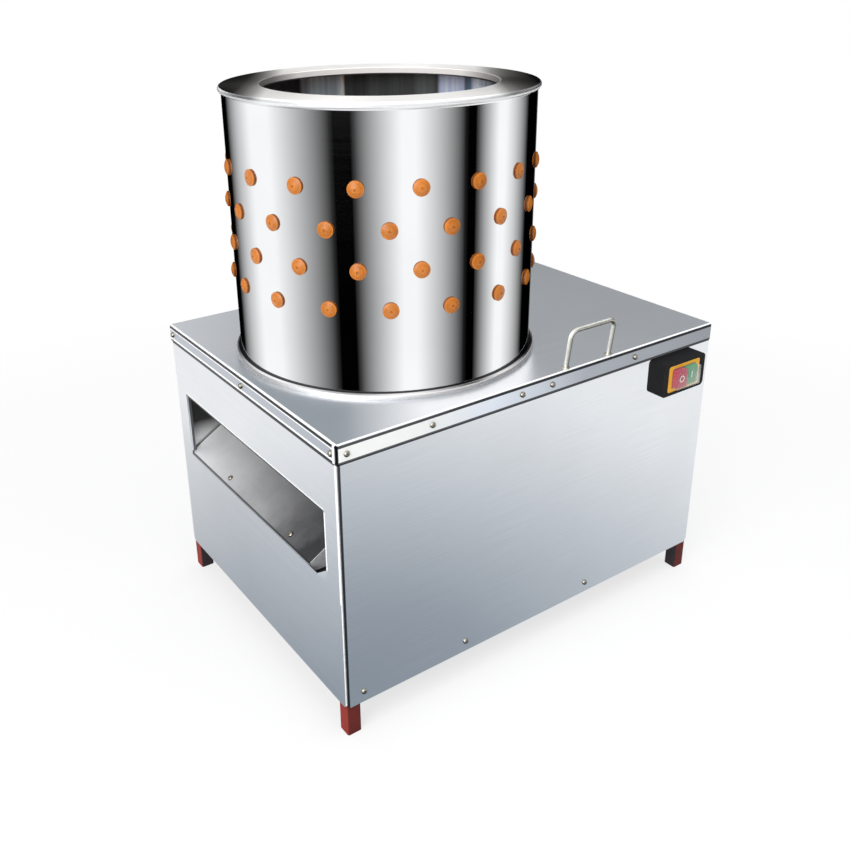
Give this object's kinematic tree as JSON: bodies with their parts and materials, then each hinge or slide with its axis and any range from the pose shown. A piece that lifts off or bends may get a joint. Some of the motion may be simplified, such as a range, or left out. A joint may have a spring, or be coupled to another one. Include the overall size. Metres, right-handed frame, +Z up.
{
  "type": "poultry plucker",
  "caption": "Drum poultry plucker: polished drum lined with rubber fingers over a belt-driven finger disc, on a sheet-steel cabinet with a feather outlet and push-button switch.",
  "frame": {"origin": "middle of the footprint at floor level", "axes": "+X from the outlet end to the motor end, +Y from the switch side to the rear, +Z up"},
  "size_m": [0.8064, 0.6585, 0.96],
  "materials": {
    "sheet_steel": "satin stainless sheet",
    "mirror_steel": "mirror-polished stainless",
    "frame_paint": "red oxide paint",
    "finger_rubber": "moulded matt rubber",
    "zinc_steel": "zinc-plated steel",
    "cast_iron": "machined cast iron",
    "motor_paint": "grey-blue enamel",
    "belt_rubber": "wrapped black rubber",
    "black_plastic": "fine textured",
    "yellow_plastic": "satin",
    "red_plastic": "gloss",
    "green_plastic": "gloss",
    "clear_rubber": "clear soft rubber"
  },
  "bodies": {
    "machine": {"cover": "sheet_steel", "outlet_panel": "sheet_steel", "front_panel": "sheet_steel", "rear_panel": "sheet_steel", "motor_end_panel": "sheet_steel", "leg_front_left": "frame_paint", "leg_front_right": "frame_paint", "leg_rear_left": "frame_paint", "leg_rear_right": "frame_paint", "top_rails": "frame_paint", "bottom_rails": "frame_paint", "bearing_rails": "frame_paint", "motor_rails": "frame_paint", "bearing_plates": "frame_paint", "motor_plate": "frame_paint", "plate_bolts": "zinc_steel", "bearing_housings": "cast_iron", "bearing_outer_races": "zinc_steel", "bearing_bolts": "zinc_steel", "drum_shell": "mirror_steel", "drum_rim": "mirror_steel", "drum_base_ring": "mirror_steel", "base_ring_screws": "zinc_steel", "wall_fingers_row_1": "finger_rubber", "wall_fingers_row_2": "finger_rubber", "wall_fingers_row_3": "finger_rubber", "wall_fingers_row_4": "finger_rubber", "catch_tray": "sheet_steel", "shaft_collar": "sheet_steel", "chute_cheeks": "sheet_steel", "chute_plate": "sheet_steel", "drive_belt": "belt_rubber", "motor_housing": "motor_paint", "motor_flange": "motor_paint", "motor_end_shield": "motor_paint", "motor_bearings": "zinc_steel", "fan_cover": "motor_paint", "terminal_box": "motor_paint", "motor_bolts": "zinc_steel", "switch_box": "black_plastic", "switch_plate": "yellow_plastic", "button_boot": "clear_rubber", "front_handle": "mirror_steel", "rear_handle": "mirror_steel", "sheet_screws": "zinc_steel", "cable_gland": "black_plastic"},
    "turntable": {"drive_shaft": "zinc_steel", "bearing_inner_races": "zinc_steel", "disc_hub": "cast_iron", "plucking_disc": "sheet_steel", "disc_fingers": "finger_rubber", "disc_bolts": "zinc_steel", "disc_nut": "zinc_steel", "driven_pulley": "cast_iron", "pulley_bolt": "zinc_steel"},
    "motor_rotor": {"motor_shaft": "zinc_steel", "motor_fan": "black_plastic", "motor_pulley": "cast_iron"},
    "stop_button": {"stop_button": "red_plastic"},
    "start_button": {"start_button": "green_plastic"}
  },
  "joints": [
    {"name": "turntable_spin", "type": "hinge", "parent": "machine", "child": "turntable", "pos_m": [-0.118, 0.01, 0.5], "axis": [0, 0, 1], "continuous": true},
    {"name": "motor_spin", "type": "hinge", "parent": "machine", "child": "motor_rotor", "pos_m": [0.25, 0.01, 0.3], "axis": [0, 0, 1], "continuous": true},
    {"name": "stop_press", "type": "slide", "parent": "machine", "child": "stop_button", "axis": [0, 1, 0], "range_m": [0, 0.0035], "stiffness_N_per_m": 600},
    {"name": "start_press", "type": "slide", "parent": "machine", "child": "start_button", "axis": [0, 1, 0], "range_m": [0, 0.0035], "stiffness_N_per_m": 600}
  ],
  "couplings": [
    {"joint": "motor_spin", "follows": "turntable_spin", "ratio": 4.5625}
  ]
}
